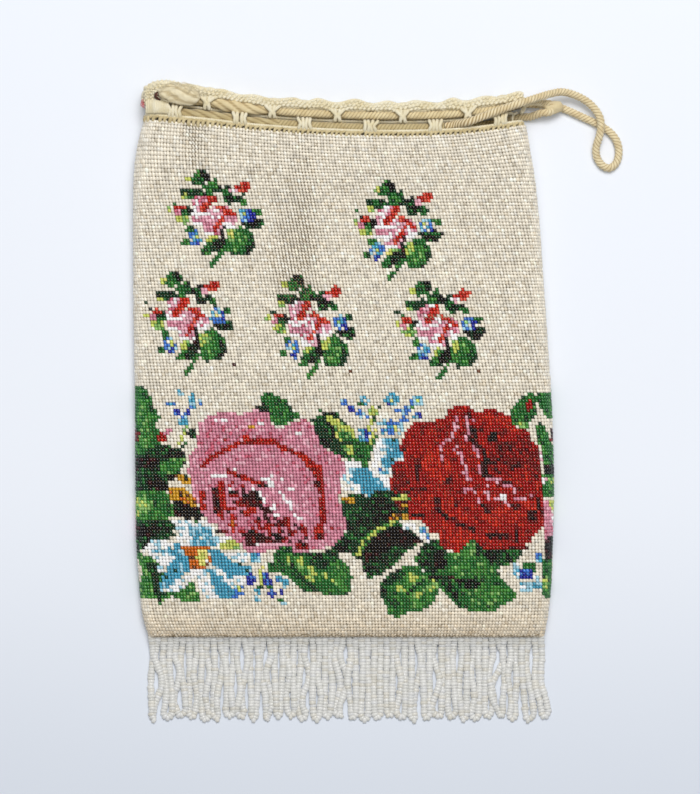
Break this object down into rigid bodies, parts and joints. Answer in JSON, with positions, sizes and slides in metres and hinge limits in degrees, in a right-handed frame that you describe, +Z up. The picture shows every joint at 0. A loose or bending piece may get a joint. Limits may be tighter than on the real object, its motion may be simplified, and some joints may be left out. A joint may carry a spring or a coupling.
{
  "type": "beaded drawcord purse",
  "caption": "Flat knitted bead purse with roses, a fringe of bead loops at the hem, and a crocheted casing with a twisted drawcord.",
  "frame": {"origin": "under the middle of the purse as it lies on its back, on the surface that it lies on", "axes": "+Y from the fringe to the mouth, +X to the right of the front, +Z up out of the front"},
  "size_m": [0.1961, 0.2596, 0.0177],
  "materials": {
    "beads": "knitted from small opaque and satin glass beads, ecru with roses and leaves",
    "casing_yarn": "crocheted cotton yarn, matt, ecru turned yellow with age",
    "cord_yarn": "twisted cotton cord, matt, deeper ecru than the casing",
    "clear_beads": "small clear and whitish glass beads on thread"
  },
  "bodies": {
    "root": {"beaded_body": "beads", "crochet_casing": "casing_yarn", "drawcord_lower_turn": "cord_yarn", "drawcord_upper_turn": "cord_yarn", "drawcord_loop": "cord_yarn", "drawcord_end_front": "cord_yarn", "drawcord_end_back": "cord_yarn", "cord_join": "cord_yarn", "cord_splice": "cord_yarn", "fringe_loop_01": "clear_beads", "fringe_loop_02": "clear_beads", "fringe_loop_03": "clear_beads", "fringe_loop_04": "clear_beads", "fringe_loop_05": "clear_beads", "fringe_loop_06": "clear_beads", "fringe_loop_07": "clear_beads", "fringe_loop_08": "clear_beads", "fringe_loop_09": "clear_beads", "fringe_loop_10": "clear_beads", "fringe_loop_11": "clear_beads", "fringe_loop_12": "clear_beads", "fringe_loop_13": "clear_beads", "fringe_loop_14": "clear_beads", "fringe_loop_15": "clear_beads", "fringe_loop_16": "clear_beads", "fringe_loop_17": "clear_beads", "fringe_loop_18": "clear_beads", "fringe_loop_19": "clear_beads", "fringe_loop_20": "clear_beads", "fringe_loop_21": "clear_beads", "fringe_loop_22": "clear_beads", "fringe_loop_23": "clear_beads", "fringe_loop_24": "clear_beads", "fringe_loop_25": "clear_beads", "fringe_loop_26": "clear_beads", "fringe_loop_27": "clear_beads", "fringe_loop_28": "clear_beads", "fringe_loop_29": "clear_beads", "fringe_loop_30": "clear_beads", "fringe_loop_31": "clear_beads", "fringe_loop_32": "clear_beads"}
  },
  "joints": []
}
